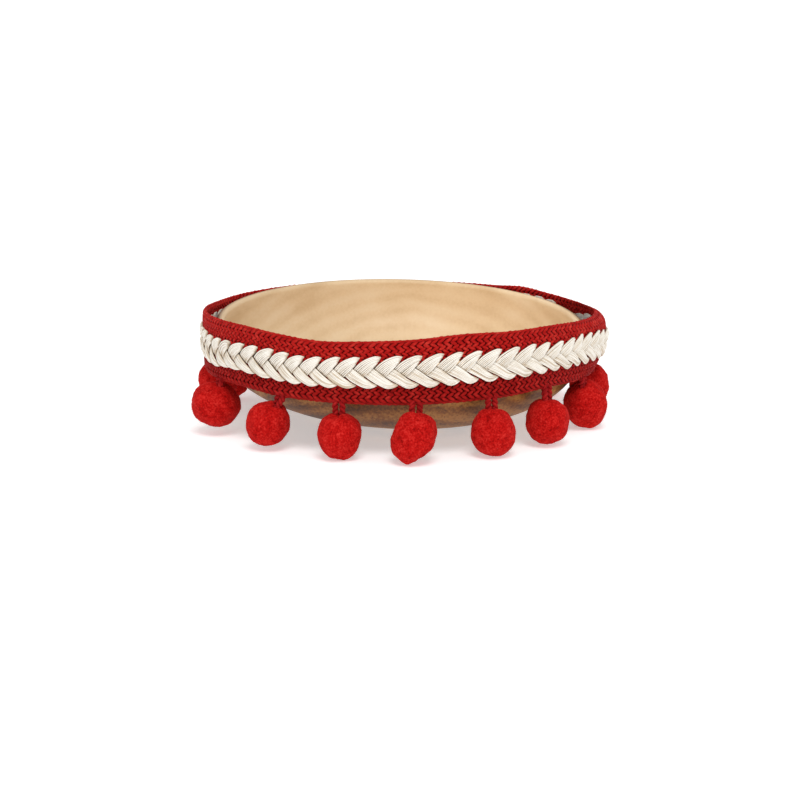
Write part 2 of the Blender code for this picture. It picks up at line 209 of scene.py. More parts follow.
# Lumps that single pompoms have: which one, where it sits (side, out, up), mm, degrees.
POMPOM_NUBS = (
    (4, (0.25, 0.85, 0.35), 1.2, 20),
    (4, (-0.45, 0.3, -0.85), 0.8, 22),
    (6, (-0.08, 0.34, 0.93), -1.9, 15),
    (7, (-0.17, 0.0, -0.98), 0.8, 12),
    (7, (-0.58, 0.0, -0.80), 0.7, 20),
    (7, (0.46, 0.0, -0.88), -3.6, 20),
    (7, (0.84, 0.0, -0.50), -1.0, 22),
    (7, (0.62, 0.0, 0.70), 1.0, 30),
    (7, (-0.72, 0.0, 0.60), -0.5, 30),
    (10, (-0.5, 0.3, -0.8), 0.7, 34),
    (10, (0.6, 0.3, -0.75), 0.7, 34),
)
BALL_ROUND = 72
BALL_RINGS = 46
FLOOR_CLEAR = 0.02 * MM  # the felt keeps this far above the floor
FELT_TUCK = 0.25 * MM  # the felt's middle face lies this far inside its egg
FELT_LUMPS = ((9.0, 0.28), (4.2, 0.11), (1.9, 0.055), (0.9, 0.035))  # wave, height, mm
FELT_SEEDS = 1000  # from one pompom's seeds to the next one's
# The slit and the dent where the loop goes in: mm deep, and their half widths.
LOOP_DENTS = ((0.8, 0.06, 0.30), (0.7, 0.27, 0.17))
FUZZ_SEED = 5000
FUZZ_HAIRS = 420
FUZZ_BARE = 0.93  # no hair grows higher than this share of the ball's top
FUZZ_LONG = (0.5 * MM, 1.5 * MM)
FUZZ_WIDE = 0.055 * MM
FUZZ_TAPER = (1.0, 0.75)  # a hair's width at its foot and half way
FUZZ_ROOT = 0.1 * MM  # how far under the felt it starts
FUZZ_BEND = (0.38, 0.35, 0.75)  # how it falls short, leans and bends, in lengths
PLY_WIDE = 1.36 * MM
PLY_ORBIT = 0.54 * MM
PLY_TWIST = 3.4 * MM  # one full turn of the two plies
PLY_START = 1.3  # radians from one pompom's twist to the next
PLY_SIDES = 8
PLY_SHADE = (0.35, 0.6)  # painted shade, mm from the strand's middle: dark up to it, and the fade

# ---- the bowl ----
RIM_RADIUS = 72.1 * MM
RIM_HEIGHT = 38.7 * MM
RIM_RISE_BACK = 0.08  # the rim's slope up towards the back
RIM_FALL_RIGHT = 0.022  # and down towards +X
RIM_CENTRE = (0.9 * MM, 0.0)
RIM_THICK = 3.4 * MM
FOOT_RADIUS = 20.0 * MM
FOOT_CENTRE = (8.0 * MM, 2.0 * MM)
FOOT_RINGS = (0.3, 0.65)  # on the foot's disc, in shares of the way out
OUTSIDE_FLARE = 1.50
OUTSIDE_RISE = 2.71
INSIDE_FLOOR = 5.0 * MM
INSIDE_FLARE = 1.75
INSIDE_RISE = 2.75
BOWL_ROUND = 192
BOWL_STEPS = 44
RIM_STEPS = 14
RIM_SEAM = (8, 4)  # rows of the rim: where the inside begins, and the fade

# ---- the yarns ----
# Four screen colours, of the painted shade deep between the yarns and of their darkest,
# middle and lightest streaks; then roughness, specular, how many streaks lie across, and the
# bump.
YARNS = {
    "red yarn": ((96, 0, 1), (139, 5, 4), (166, 18, 14), (192, 52, 42), 0.75, 0.1, 3.0, 0.4),
    # painted shade: the lower braid's red is the upper one's a shade darker, as it lies in more
    # shade
    "red yarn with painted shade": (
        (84, 0, 1), (121, 5, 4), (146, 15, 12), (173, 40, 33), 0.75, 0.09, 3.0, 0.4),
    "white cotton": (
        (198, 181, 157), (226, 219, 207), (236, 232, 223), (243, 239, 231), 0.65, 0.2, 2.0, 0.25),
    "red loop yarn": (
        (56, 0, 2), (108, 4, 6), (144, 13, 15), (172, 34, 32), 0.8, 0.12, 4.0, 0.6),
}

# ---- the studio ----
CAMERA_TARGET = np.array([0.7, 0.0, 5.98]) * MM
CAMERA_AWAY = 0.684
CAMERA_PITCH = math.radians(11.95)
CAMERA_LENS = 77.73
HORIZON_LIGHT = 1.25
OVERHEAD_LIGHT = 0.6
KEY_FROM = (0.08, -0.72, 1.15)  # where the key light stands, as seen from the bowl
KEY_POWER = 1.5
KEY_SPREAD = math.radians(28)  # a wide lamp, for soft shadows
FLOOR_REACH = 40.0
FLOOR_GLOW = 0.42  # a lit table: it keeps the shadows light


# ==== places on the trim ====

def bridge(share, here, slope_here, ahead, slope_ahead):
    """The cubic from one value to the next with these slopes at its ends (Hermite)."""
    square, cube = share ** 2, share ** 3
    return ((2 * cube - 3 * square + 1) * here + (cube - 2 * square + share) * slope_here
            + (3 * square - 2 * cube) * ahead + (cube - square) * slope_ahead)


def lie(angle, column):
    """One column of the trim's lie at each angle, a smooth closed curve through the rows."""
    knots = np.radians([row[0] for row in TRIM_LIE])
    values = np.array([row[TRIM_COLUMNS.index(column)] for row in TRIM_LIE]) * MM
    turned = (angle + math.pi) % TURN - math.pi
    before = np.searchsorted(knots, turned, side="right") - 1
    picks = [(before + step) % len(knots) for step in (-1, 0, 1, 2)]
    gaps = [(knots[b] - knots[a]) % TURN for a, b in zip(picks, picks[1:])]
    back, here, ahead, beyond = (values[pick] for pick in picks)
    share = (turned - knots[before]) / gaps[1]
    slope_here = (ahead - back) / (gaps[0] + gaps[1]) * gaps[1]
    slope_ahead = (beyond - here) / (gaps[1] + gaps[2]) * gaps[1]
    return bridge(share, here, slope_here, ahead, slope_ahead)


def ring_place(angle, outward, height):
    """Places in space at an angle of the ring, outward from the braids' outer face.

    The radius is the ring's, plus the lie's out, plus the belly's share: a square curve
    below its fullest line and a fourth power above it.
    """
    low, high = lie(angle, "lower_mm"), lie(angle, "upper_mm")
    share = np.clip((height - low) / (high - low), 0.0, 1.0)
    below = 1 - ((BELLY_PLACE - share) / BELLY_PLACE) ** 2
    above = 1 - ((share - BELLY_PLACE) / (1 - BELLY_PLACE)) ** 4
    belly = lie(angle, "belly_mm") * np.where(share < BELLY_PLACE, below, above)
    radius = RING_RADIUS + lie(angle, "out_mm") + belly + outward
    return np.stack((radius * np.sin(angle), -radius * np.cos(angle), height + 0 * angle), -1)


def plait_line(angle):
    """Height of the plait's middle line, a fixed share of the way up the trim's width."""
    low, high = lie(angle, "lower_mm"), lie(angle, "upper_mm")
    return low + PLAIT_CENTRE * (high - low)


def carry_round(flat):
    """Flat places (along, up, out) carried round the ring: along is laid on the radius."""
    angle = flat[..., 0] / RING_RADIUS
    return ring_place(angle, flat[..., 2], plait_line(angle) + flat[..., 1])


def run_places(step):
    """Places a step apart along the whole trim, from one cut end to the other."""
    along = np.arange(-HALF_RUN, HALF_RUN + 0.5 * step, step)
    along[-1] = HALF_RUN
    return along


def unit(ways):
    """The same ways, each of length one."""
    return ways / (np.linalg.norm(ways, axis=-1, keepdims=True) + 1e-12)


def drift(place, wave, seed):
    """A number that wanders between -1 and 1: seeded values at each wave, eased between."""
    table = np.random.default_rng(seed).uniform(-1, 1, DRIFT_VALUES)
    scaled = np.asarray(place, float) / wave
    base = np.floor(scaled).astype(int)
    share = scaled - base
    ease = share * share * (3 - 2 * share)
    after = table[(base + 1) % DRIFT_VALUES]
    return table[base % DRIFT_VALUES] * (1 - ease) + after * ease


def chance(difference, place, number):
    """One of a yarn's or a thread's chance differences at each place: its size times drift."""
    size, wave, first_seed = difference
    return size * drift(place, wave, first_seed + number)


def lumps(points, wave, seed, ways=26):
    """Soft lumps in space: the sum of seeded cosine waves of one length in many directions."""
    rng = np.random.default_rng(seed)
    normals = unit(rng.normal(size=(ways, 3)))
    phases = rng.uniform(0, TURN, ways)
    return np.cos(points @ normals.T * (TURN / wave) + phases).sum(-1) * math.sqrt(1.0 / ways)


# ==== meshes ====

NO_TRIANGLES = np.zeros((0, 3), int)


def put_in_scene(name, data):
    """A new object at the origin, linked to the scene."""
    thing = bpy.data.objects.new(name, data)
    bpy.context.scene.collection.objects.link(thing)
    return thing


def make_piece(name, points, quads, triangles, sheet, material, node, lift=None):
    """A finished mesh object at the origin, with its faces, its UVs and its ride.

    lift, where it is given, is one number a point from 0, deep between the yarns, to 1,
    on the yarns' crowns; the yarn's material darkens with it, a painted shade.
    """
    corners = np.concatenate((quads.reshape(-1), triangles.reshape(-1)))
    starts = np.concatenate((np.arange(len(quads)) * 4,
                             quads.size + np.arange(len(triangles)) * 3))
    mesh = bpy.data.meshes.new(name)
    mesh.vertices.add(len(points))
    mesh.vertices.foreach_set("co", np.ascontiguousarray(points, np.float32).reshape(-1))
    mesh.loops.add(len(corners))
    mesh.polygons.add(len(starts))
    mesh.polygons.foreach_set("loop_start", starts.astype(np.int32))
    mesh.loops.foreach_set("vertex_index", corners.astype(np.int32))
    mesh.uv_layers.new(name="UVMap")
    mesh.uv_layers[0].data.foreach_set("uv", np.ascontiguousarray(sheet, np.float32).reshape(-1))
    if lift is not None:
        mesh.attributes.new("lift", "FLOAT", "POINT")
        mesh.attributes["lift"].data.foreach_set("value", lift.astype(np.float32))
    mesh.update(calc_edges=True)
    mesh.materials.append(material)
    mesh.shade_smooth()
    thing = put_in_scene(name, mesh)
    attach(thing, "root")
    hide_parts(node)


def round_faces(rows, columns):
    """Quads of a skin that closes on itself round its columns, and their UV corners."""
    row, column = np.mgrid[:rows - 1, :columns]
    lanes = np.stack((column, column + 1, column + 1, column), -1)
    steps = np.stack((row, row, row + 1, row + 1), -1)
    quads = steps * columns + lanes % columns
    return quads.reshape(-1, 4), np.stack((lanes, steps), -1).reshape(-1, 2)


def pole_faces(rows, columns):
    """Triangles from a round skin's first and last rows to the two points after its own."""
    count = rows * columns
    column = np.arange(columns)
    after = (column + 1) % columns
    last = count - columns
    return np.concatenate((
        np.stack((column * 0 + count, after, column), -1),
        np.stack((last + column, last + after, column * 0 + count + 1), -1)))


def tube_skin(path, wide, thick, sides, upright):
    """Rings of an oval carried along a path, its width square to the upright way.

    At each place the oval's point at a turn is the path plus half the width times the
    cosine across, and half the thickness times the sine along the lift.
    """
    ahead = unit(np.gradient(path, axis=0))
    across = unit(np.cross(upright, ahead))
    lift = np.cross(ahead, across)
    turn = TURN * np.arange(sides) / sides
    wide, thick = (0.5 * np.broadcast_to(size, len(path))[:, None] for size in (wide, thick))
    return (path[:, None] + across[:, None] * (wide * np.cos(turn))[..., None]
            + lift[:, None] * (thick * np.sin(turn))[..., None])


def gather(skins, sides, lanes):
    """Join tubes into one set of points, quads, end caps and UVs.

    A tube's UV runs round it in u, offset by its own whole number, and along it in v,
    in millimetres. Its two ends are closed by quads across the ring.
    """
    points, quads, sheets = [], [], []
    first = 0
    for skin, lane in zip(skins, lanes):
        rows = len(skin)
        middle = skin.mean(axis=1)
        run = np.concatenate(([0.0], np.cumsum(np.linalg.norm(np.diff(middle, axis=0), axis=1))))
        faces, sheet = round_faces(rows, sides)
        mapped = np.stack((lane + sheet[:, 0] / sides, run[sheet[:, 1].astype(int)] / MM), -1)
        fans = np.array([(0, j, j + 1, j + 2) for j in range(1, sides - 2, 2)])
        last = (rows - 1) * sides
        caps = np.concatenate((fans[:, ::-1], last + fans))
        points.append(skin.reshape(-1, 3))
        quads.append(np.concatenate((faces, caps)) + first)
        sheets.append(np.concatenate((mapped, np.repeat([[lane, 0.0]], caps.size, axis=0))))
        first += rows * sides
    return np.concatenate(points), np.concatenate(quads), np.concatenate(sheets)


def crown(skins):
    """How near each point of the tubes is to its tube's top or underside, 0 to 1.

    It is the outward share of the way from the middle of the point's ring to the point.
    """
    away = np.concatenate([(skin - skin.mean(axis=1, keepdims=True)).reshape(-1, 3)
                           for skin in skins])
    return np.abs(away[:, 2]) / (np.linalg.norm(away, axis=1) + 1e-12)


# ==== materials ====

def linear(red, green, blue):
    """A colour given as it looks on a screen, 0 to 255, in linear light."""
    parts = [((v / 255 + 0.055) / 1.055) ** 2.4 if v > 10 else v / 255 / 12.92
             for v in (red, green, blue)]
    return (*parts, 1.0)


def node_ways(tree):
    """Two short ways to work on a node tree: to fill a node's inputs and to add a node.

    An input is set to its value, or joined to the output that is given for it. A colour
    ramp's stops are each a place and a screen colour. A new node comes as its outputs.
    """
    def fill(made, inputs):
        for key, value in inputs.items():
            if isinstance(value, bpy.types.NodeSocket):
                tree.links.new(value, made.inputs[key])
            else:
                made.inputs[key].default_value = value

    def add(kind, inputs=None, stops=(), **settings):
        made = tree.nodes.new("ShaderNode" + kind)
        for key, value in settings.items():
            setattr(made, key, value)
        if stops:
            elements = made.color_ramp.elements
            while len(elements) < len(stops):
                elements.new(0.5)
            for element, (place, colour) in zip(elements, stops):
                element.position = place
                element.color = linear(*colour)
        fill(made, inputs or {})
        return made.outputs

    return fill, add


def new_material(name, roughness, specular):
    """A Principled material: a way to add nodes to it, and a way to finish its shader."""
    material = bpy.data.materials.new(name)
    material.use_nodes = True
    fill, add = node_ways(material.node_tree)
    shader = material.node_tree.nodes["Principled BSDF"]
    fill(shader, {"Roughness": roughness, "Specular IOR Level": specular})

    def finish(inputs):
        fill(shader, inputs)
        return material

    return add, finish


def yarn_material(name, deep, dark, middle, light, roughness, specular, streaks, bump):
    """Spun yarn: streaks of colour and fine fibres that run along each yarn.

    The streaks are noise on the yarn's own UV, stretched along it, so that each yarn
    differs from its neighbour; slow noise in space changes the shade along the trim.
    The piece's lift blends from the deep colour, a painted shade between the yarns, to their own.
    """
    add, finish = new_material(name, roughness, specular)
    place = add("TexCoord")
    stretch = add("Mapping", {"Scale": (streaks, 0.35, 1.0), "Vector": place["UV"]})
    fibres = add("TexNoise", {"Scale": 1.0, "Detail": 3.0, "Vector": stretch["Vector"]})
    slow = add("TexNoise", {"Scale": 380.0, "Detail": 2.0, "Vector": place["Object"]})
    blend = add("Mix", {0: 0.42, 2: fibres["Fac"], 3: slow["Fac"]}, data_type="FLOAT")
    ramp = add("ValToRGB", {"Fac": blend[0]}, ((0.32, dark), (0.5, middle), (0.7, light)))
    # painted shade: the lift darkens the yarn towards its deep colour
    depth = add("Attribute", attribute_name="lift")
    shade = add("MapRange", {"From Min": 0.2, "From Max": 0.8, "Value": depth["Fac"]},
                interpolation_type="SMOOTHSTEP")
    rise = add("Mix", {0: shade["Result"], 6: linear(*deep), 7: ramp["Color"]},
               data_type="RGBA")
    relief = add("Bump", {"Strength": bump, "Distance": 0.12 * MM, "Height": fibres["Fac"]})
    return finish({"Base Color": rise[2], "Normal": relief["Normal"], "Sheen Weight": 0.05,
                   "Sheen Roughness": 0.5, "Sheen Tint": linear(*light)})


def felt_material():
    """Felted wool: fine mottling of three reds, matt, with a soft bright bloom."""
    add, finish = new_material("felted wool", 0.95, 0.05)
    place = add("TexCoord")["Object"]
    fine = add("TexNoise", {"Scale": 1500.0, "Detail": 5.0, "Roughness": 0.62,
                            "Vector": place})["Fac"]
    patches = add("TexNoise", {"Scale": 420.0, "Detail": 3.0, "Vector": place})["Fac"]
    blend = add("Mix", {0: 0.32, 2: fine, 3: patches}, data_type="FLOAT")
    ramp = add("ValToRGB", {"Fac": blend[0]},
               ((0.34, (122, 4, 4)), (0.5, (178, 17, 15)), (0.66, (206, 48, 42))))
    relief = add("Bump", {"Strength": 0.8, "Distance": 0.35 * MM, "Height": fine})
    return finish({"Base Color": ramp["Color"], "Normal": relief["Normal"],
                   "Sheen Weight": 0.12, "Sheen Roughness": 0.45,
                   "Sheen Tint": linear(240, 90, 80)})


def wood_material():
    """Turned wood: pale inside with faint growth rings; browner and pored outside, its brown
    partly the wood's own colour and partly painted shade of the underside.

    The UV's u is 0 on the inside and 1 on the outside. The tree's axis runs along Y, so
    the growth rings are rings round it, wavering; broad shades are noise drawn out along
    it, and the outside's pores are short dark dashes of a finer noise drawn out the same
    way. A very fine noise breaks up the even tone, and the wood is darker towards -X.
    """
    add, finish = new_material("turned wood", 0.5, 0.3)
    place = add("TexCoord")

    def drawn_out(scale, detail, distortion=0.0):
        way = add("Mapping", {"Scale": scale, "Vector": place["Object"]})
        return add("TexNoise", {"Scale": 1.0, "Detail": detail, "Distortion": distortion,
                                "Vector": way["Vector"]})["Fac"]

    def blend(first, second, share):
        return add("Mix", {0: share, 2: first, 3: second}, data_type="FLOAT")[0]

    def darken(colour, shade, share):
        return add("Mix", {0: share, 6: colour["Color"], 7: shade["Result"]},
                   data_type="RGBA", blend_type="MULTIPLY")[2]

    shades = drawn_out((38.0, 15.0, 55.0), 4.0, 0.4)
    fibres = drawn_out((900.0, 150.0, 900.0), 3.0)
    pores = drawn_out((1000.0, 330.0, 1000.0), 2.0)
    centre = add("Mapping", {"Location": (-0.004, 0.0, 0.058), "Vector": place["Object"]})
    rings = add("TexWave", {"Scale": 46.0, "Distortion": 5.0, "Detail": 2.0,
                            "Detail Scale": 0.6, "Vector": centre["Vector"]},
                wave_type="RINGS", rings_direction="Y")["Fac"]
    grain = blend(blend(shades, rings, 0.16), fibres, 0.22)
    pale = add("ValToRGB", {"Fac": grain},
               ((0.30, (218, 185, 142)), (0.5, (232, 202, 161)), (0.70, (240, 214, 177))))
    level = add("SeparateXYZ", {"Vector": place["Object"]})
    # the wood is darker towards -X
    toward_minus_x = add("MapRange", {"From Min": -66 * MM, "From Max": 60 * MM, "To Min": 0.80,
                             "Value": level["X"]}, interpolation_type="SMOOTHSTEP")
    rough = blend(blend(shades, rings, 0.2), fibres, 0.4)
    # painted shade: the outside's brown is partly the wood's own colour and partly the
    # underside's shade
    brown_and_shade = add("ValToRGB", {"Fac": rough},
                ((0.38, (89, 50, 17)), (0.5, (130, 81, 32)), (0.60, (163, 112, 54))))
    specks = add("MapRange", {"From Min": 0.32, "From Max": 0.42, "To Min": 0.42,
                              "Value": pores})
    split = add("SeparateXYZ", {"Vector": place["UV"]})
    sides = add("Mix", {0: split["X"], 6: darken(pale, toward_minus_x, 1.0),
                        7: darken(brown_and_shade, specks, 0.85)}, data_type="RGBA")
    relief = add("Bump", {"Strength": 0.2, "Distance": 0.1 * MM, "Height": fibres})
    return finish({"Base Color": sides[2], "Normal": relief["Normal"]})


# ==== the bowl ====

def round_the_bowl():
    """The sine and less the cosine of each column's angle: its shares of +X and +Y."""
    angle = (TURN * np.arange(BOWL_ROUND) / BOWL_ROUND)[None, :]
    return np.sin(angle), -np.cos(angle)


def rim_line(radius, across, deep):
    """Height at which the leaning rim's rounded top begins.

    It is the rim's height, plus its two slopes over a circle of this radius, less half
    its thickness.
    """
    return (RIM_HEIGHT + radius * (RIM_RISE_BACK * deep - RIM_FALL_RIGHT * across)
            - 0.5 * RIM_THICK)


def bowl_face(rim_radius, middle_radius, bottom, flare, rise):
    """Profile rings of one face of the bowl, from its rim to its middle.

    Each ring is a circle at a turn from 0 at the rim to a quarter at the foot. Its share
    of the way out is the cosine to the power 2 / flare, and its share of the height is
    one less the sine to the power 2 / rise. Its middle slides from the rim's to the
    foot's, and the rim's lean fades with the height.
    """
    turn = (0.5 * math.pi * np.arange(BOWL_STEPS + 1) / BOWL_STEPS)[:, None]
    flat = np.maximum(np.cos(turn), 0.0) ** (2 / flare)
    high = 1 - np.sin(turn) ** (2 / rise)
    radius = middle_radius + (rim_radius - middle_radius) * flat
    across, deep = round_the_bowl()
    height = bottom + (rim_line(rim_radius, across, deep) - bottom) * high
    x, y = (foot + (rim - foot) * flat for foot, rim in zip(FOOT_CENTRE, RIM_CENTRE))
    return np.stack((x + radius * across, y + radius * deep, height), -1)


def rim_round():
    """The rim's rounded top: a half circle carried round the leaning rim."""
    turn = (math.pi * np.arange(1, RIM_STEPS) / RIM_STEPS)[:, None]
    half = 0.5 * RIM_THICK
    radius = RIM_RADIUS - half + half * np.cos(turn)
    across, deep = round_the_bowl()
    height = rim_line(radius, across, deep) + half * np.sin(turn)
    return np.stack((RIM_CENTRE[0] + radius * across, RIM_CENTRE[1] + radius * deep, height), -1)


def make_bowl(material):
    """The turned bowl: level foot, outside, rounded rim and inside, closed at both poles.

    The foot is two rings between its middle and its edge. The UV's u goes from 1 outside
    to 0 inside over four rows of the rim.
    """
    outside = bowl_face(RIM_RADIUS, FOOT_RADIUS, 0.0, OUTSIDE_FLARE, OUTSIDE_RISE)[::-1]
    inside = bowl_face(RIM_RADIUS - RIM_THICK, 0.0, INSIDE_FLOOR, INSIDE_FLARE, INSIDE_RISE)
    pole = np.array([[*FOOT_CENTRE, 0.0]])
    foot = np.concatenate([pole + (outside[:1] - pole) * share for share in FOOT_RINGS])
    rings = np.concatenate((foot, outside, rim_round(), inside[:-1]))
    quads, sheet = round_faces(len(rings), BOWL_ROUND)
    inner_row = len(foot) + len(outside) + RIM_SEAM[0]
    side = np.clip((inner_row - sheet[:, 1]) / RIM_SEAM[1], 0, 1)
    mapped = np.stack((side, sheet[:, 0] / BOWL_ROUND), -1)
    triangles = pole_faces(len(rings), BOWL_ROUND)
    caps = np.zeros((triangles.size, 2))
    caps[:triangles.size // 2, 0] = 1.0
    points = np.concatenate((rings.reshape(-1, 3), pole, inside[-1][:1]))
    make_piece("bowl_turned", points, quads, triangles, np.concatenate((mapped, caps)),
               material, "bowl")


# ==== the red braids ====

def braid_edges(name, angle):
    """The heights of a braid's two edges over the plait's line, the lower one first.

    The lower braid's outer edge has the edge yarns' sag.
    """
    line = plait_line(angle)
    if name == "braid_upper":
        return BRAID_INNER_EDGE + 0 * angle, lie(angle, "upper_mm") - line
    return lie(angle, "lower_mm") - line - BRAID_LOWER_SAG, -BRAID_INNER_EDGE + 0 * angle


def braid_path(name, yarn, seed):
    """One yarn's path through a flat braid of 13, over two and under two, and its floats.

    Across the braid the yarn is a triangle wave of the run, its corners a little
    rounded. Outward it is a squared sine of its place across: down under two yarns and
    up over two as it rises, and the other way about as it falls.
    """
    along = run_places(YARN_STEP)
    angle = along / RING_RADIUS
    period = BRAID_YARNS * BRAID_PITCH
    slipped = along + chance(YARN_SLIP, along, seed)
    phase = TURN * (slipped / period - yarn / BRAID_YARNS)
    wave = np.arcsin(BRAID_CORNER * np.sin(phase)) / math.asin(BRAID_CORNER)
    share = 0.5 + 0.5 * wave
    rising = np.cos(phase)
    place = np.clip((share * BRAID_YARNS - 0.5) / 2, 0, BRAID_YARNS // 2)
    weave = np.sin(math.pi * place)
    square = np.tanh(WEAVE_FLAT * weave) / math.tanh(WEAVE_FLAT)
    out = -square * np.tanh(WEAVE_TURN * rising)
    low, high = braid_edges(name, angle)
    room = 0.5 * BRAID_YARN_WIDE
    up = low + room + share * (high - low - 2 * room)
    up = up + chance(YARN_STRAY, along, seed + yarn)
    depth = -0.5 * BRAID_THICK + BRAID_OVER * out
    return np.stack((along, up, depth), -1), np.maximum(np.abs(out), wave ** WEAVE_EDGE)


def filler_path(name, lane):
    """A flat yarn straight along the inside of the braid, in its own lane, and its width."""
    along = run_places(FILLER_STEP)
    low, high = braid_edges(name, along / RING_RADIUS)
    wide = (high - low - 2 * FILLER_INSET) / FILLER_YARNS
    up = low + FILLER_INSET + (lane + 0.5) * wide
    return np.stack((along, up, 0 * along - 0.5 * BRAID_THICK), -1), FILLER_LAP * wide


def make_braid(name, material, seed):
    """A flat braid: its 13 yarns and its fillers as tubes on the flat, carried round the ring.

    A yarn is widest on its floats and where it turns at an edge, and is nipped where it
    dives under the next. Its colour has painted shade: bright on its crown and at the
    braid's edges, darker on its sides and the nearer it is to the braid's middle.
    """
    upright = np.array([0.0, 0.0, 1.0])
    skins = []
    for yarn in range(BRAID_YARNS):
        path, floating = braid_path(name, yarn, seed)
        swell = 1 + chance(YARN_SWELL, path[:, 0], seed + yarn)
        wide = BRAID_YARN_WIDE * swell * (1 - BRAID_YARN_NIP * (1 - floating))
        skins.append(tube_skin(path, wide, BRAID_YARN_THICK, YARN_SIDES, upright))
    for lane in range(FILLER_YARNS):
        path, wide = filler_path(name, lane)
        skins.append(tube_skin(path, wide, FILLER_THICK, YARN_SIDES, upright))
    points, quads, sheet = gather(skins, YARN_SIDES, range(BRAID_YARNS + FILLER_YARNS))
    # painted shade: the lift darkens the yarns towards the braid's middle depth and on their
    # sides, but not near its edges
    lift = np.clip(np.abs(points[:, 2] / BRAID_THICK + 0.5) * 2, 0, 1)
    bright, least = YARN_SIDE_SHADE
    lift = lift * (least + (1 - least) * np.clip(crown(skins) / bright, 0, 1))
    low, high = braid_edges(name, points[:, 0] / RING_RADIUS)
    from_edge = np.minimum(points[:, 1] - low, high - points[:, 1])
    lift = np.maximum(lift, np.clip((EDGE_UNSHADED[0] - from_edge) / EDGE_UNSHADED[1], 0, 1))
    make_piece(name + "_yarns", carry_round(points), quads, NO_TRIANGLES, sheet,
               material, name, lift)


# ==== the white plait ====

def guide(knots, share):
    """A smooth line through knots, at shares from 0 to 1 of its length (Catmull-Rom)."""
    knots = np.asarray(knots, float)
    reach = np.concatenate(([0.0], np.cumsum(np.linalg.norm(np.diff(knots, axis=0), axis=1))))
    reach /= reach[-1]
    slopes = np.gradient(knots, reach, axis=0)
    before = np.clip(np.searchsorted(reach, share, side="right") - 1, 0, len(knots) - 2)
    span = (reach[before + 1] - reach[before])[:, None]
    part = (share - reach[before])[:, None] / span
    return bridge(part, knots[before], span * slopes[before],
                  knots[before + 1], span * slopes[before + 1])


def petal_threads(outer, inner):
    """The threads of one petal from its tip to its covered end, in mm from the tip.

    Thread k lies between the outer and the inner guide at its share of the way, and its
    height is that of the petal, lower towards the petal's two long edges.
    """
    share = np.linspace(1.0, 0.0, PETAL_STEPS)
    first, second = guide(outer, share), guide(inner, share)
    spots = (np.arange(STRAND_THREADS) + 0.5) / STRAND_THREADS
    flat = first[None] * (1 - spots)[:, None, None] + second[None] * spots[:, None, None]
    height = guide(list(enumerate(PETAL_HEIGHTS)), share)[:, 1]
    late, least = PETAL_ROUND
    round_off = PETAL_EDGE_FALL * np.abs(2 * spots - 1) ** late
    lift = height[None] - round_off[:, None] * (least + (1 - least) * share[None])
    return np.concatenate((flat, lift[..., None]), -1)


def back_place(start, shift, up, depth):
    """A place for each thread behind the braids, by its shifts from the start, in mm."""
    spot = start + np.array([shift, up, 0.0]) * MM
    spot[:, 2] = depth * MM
    return spot[:, None]


def strand_paths(strand, rng):
    """The 8 thread paths of one of the plait's three strands, along the whole trim.

    The strand goes to and fro: down its upper petal from the tip to the covered end,
    behind the next two petals to the lower edge, up its lower petal, and behind again
    to the upper edge three petals further on. At each tip the threads go through the
    red braid's yarns, and behind it they turn a little beyond the tip. They keep their
    order through each turn. A lower petal is a mixture of the three shapes that its
    outer edge has at the left, in front and at the right, by its place round the ring.
    """
    upper = petal_threads(UPPER_OUTER, UPPER_INNER)
    lowers = [petal_threads(LOWER_INNER, line) for line in LOWER_OUTERS]
    legs = []
    petals = range(PETALS + SPARE_PETALS, -SPARE_PETALS, -1)
    for petal in [i for i in petals if i % 3 == strand]:
        tip = -HALF_RUN + (petal + 1) * PETAL_PITCH
        degrees = math.degrees(tip / RING_RADIUS)
        rise = np.interp(degrees, *zip(*REVERSE_RISE))
        left = np.interp(degrees, LOWER_OUTER_AT, (1, 0, 0, 0))
        right = np.interp(degrees, LOWER_OUTER_AT, (0, 0, 0, 1))
        lower = left * lowers[0] + (1 - left - right) * lowers[1] + right * lowers[2]
        strays = [size * MM * drift(petal * 1.0, 1.0, seed) for size, seed in TIP_STRAYS]
        above = tip + strays[0]
        below = tip - PETAL_PITCH - LOWER_LAG + strays[1]
        for shape, along, height, way, raised in (
                (upper, above, UPPER_TIP + strays[2], 1.0, rise),
                (lower, below, LOWER_TIP + strays[3], -1.0, 0.0)):
            leg = shape * MM + np.array([along, height, 0.0])
            leg = leg + rng.normal(0, 1, (STRAND_THREADS, 1, 3)) * THREAD_STRAY
            places = [leg]
            for (shift, up), depth in BACK_OF_TIP:
                lifted = way * up + np.clip(REVERSE_DEPTH - depth, 0, 1) * raised
                places.insert(0, back_place(leg[:, 0], shift, lifted, depth))
            for (shift, up), depth in BACK_OF_END:
                places.append(back_place(leg[:, -1], shift, way * up, depth))
            legs.append(np.concatenate(places, 1))
    return np.concatenate(legs, axis=1)


def cut_to_run(path):
    """A thread's path with what lies beyond the trim's two cut ends taken off."""
    inside = np.flatnonzero(np.abs(path[:, 0]) <= HALF_RUN)
    first, last = inside[0], inside[-1]
    kept = path[first:last + 1].copy()
    kept[:, 0] = np.clip(kept[:, 0], -HALF_RUN, HALF_RUN)
    ends = []
    for here, beyond in ((first, first - 1), (last, last + 1)):
        edge = math.copysign(HALF_RUN, path[beyond, 0])
        share = (edge - path[here, 0]) / (path[beyond, 0] - path[here, 0])
        ends.append(path[here] + share * (path[beyond] - path[here]))
    return np.concatenate((ends[0][None], kept, ends[1][None]))


def slip_and_drop(path):
    """Moves a thread's path by the petals' slide along the trim and the tips' drop."""
    around = np.degrees(path[:, 0] / RING_RADIUS)
    path[:, 0] += np.interp(around, *zip(*PETAL_SLIDE)) * MM
    degrees, upper, lower = zip(*PETAL_DROP)
    share = np.clip((path[:, 1] - LOWER_TIP) / (UPPER_TIP - LOWER_TIP), 0, 1)
    path[:, 1] -= (np.interp(around, degrees, upper) * share
                   + np.interp(around, degrees, lower) * (1 - share)) * MM


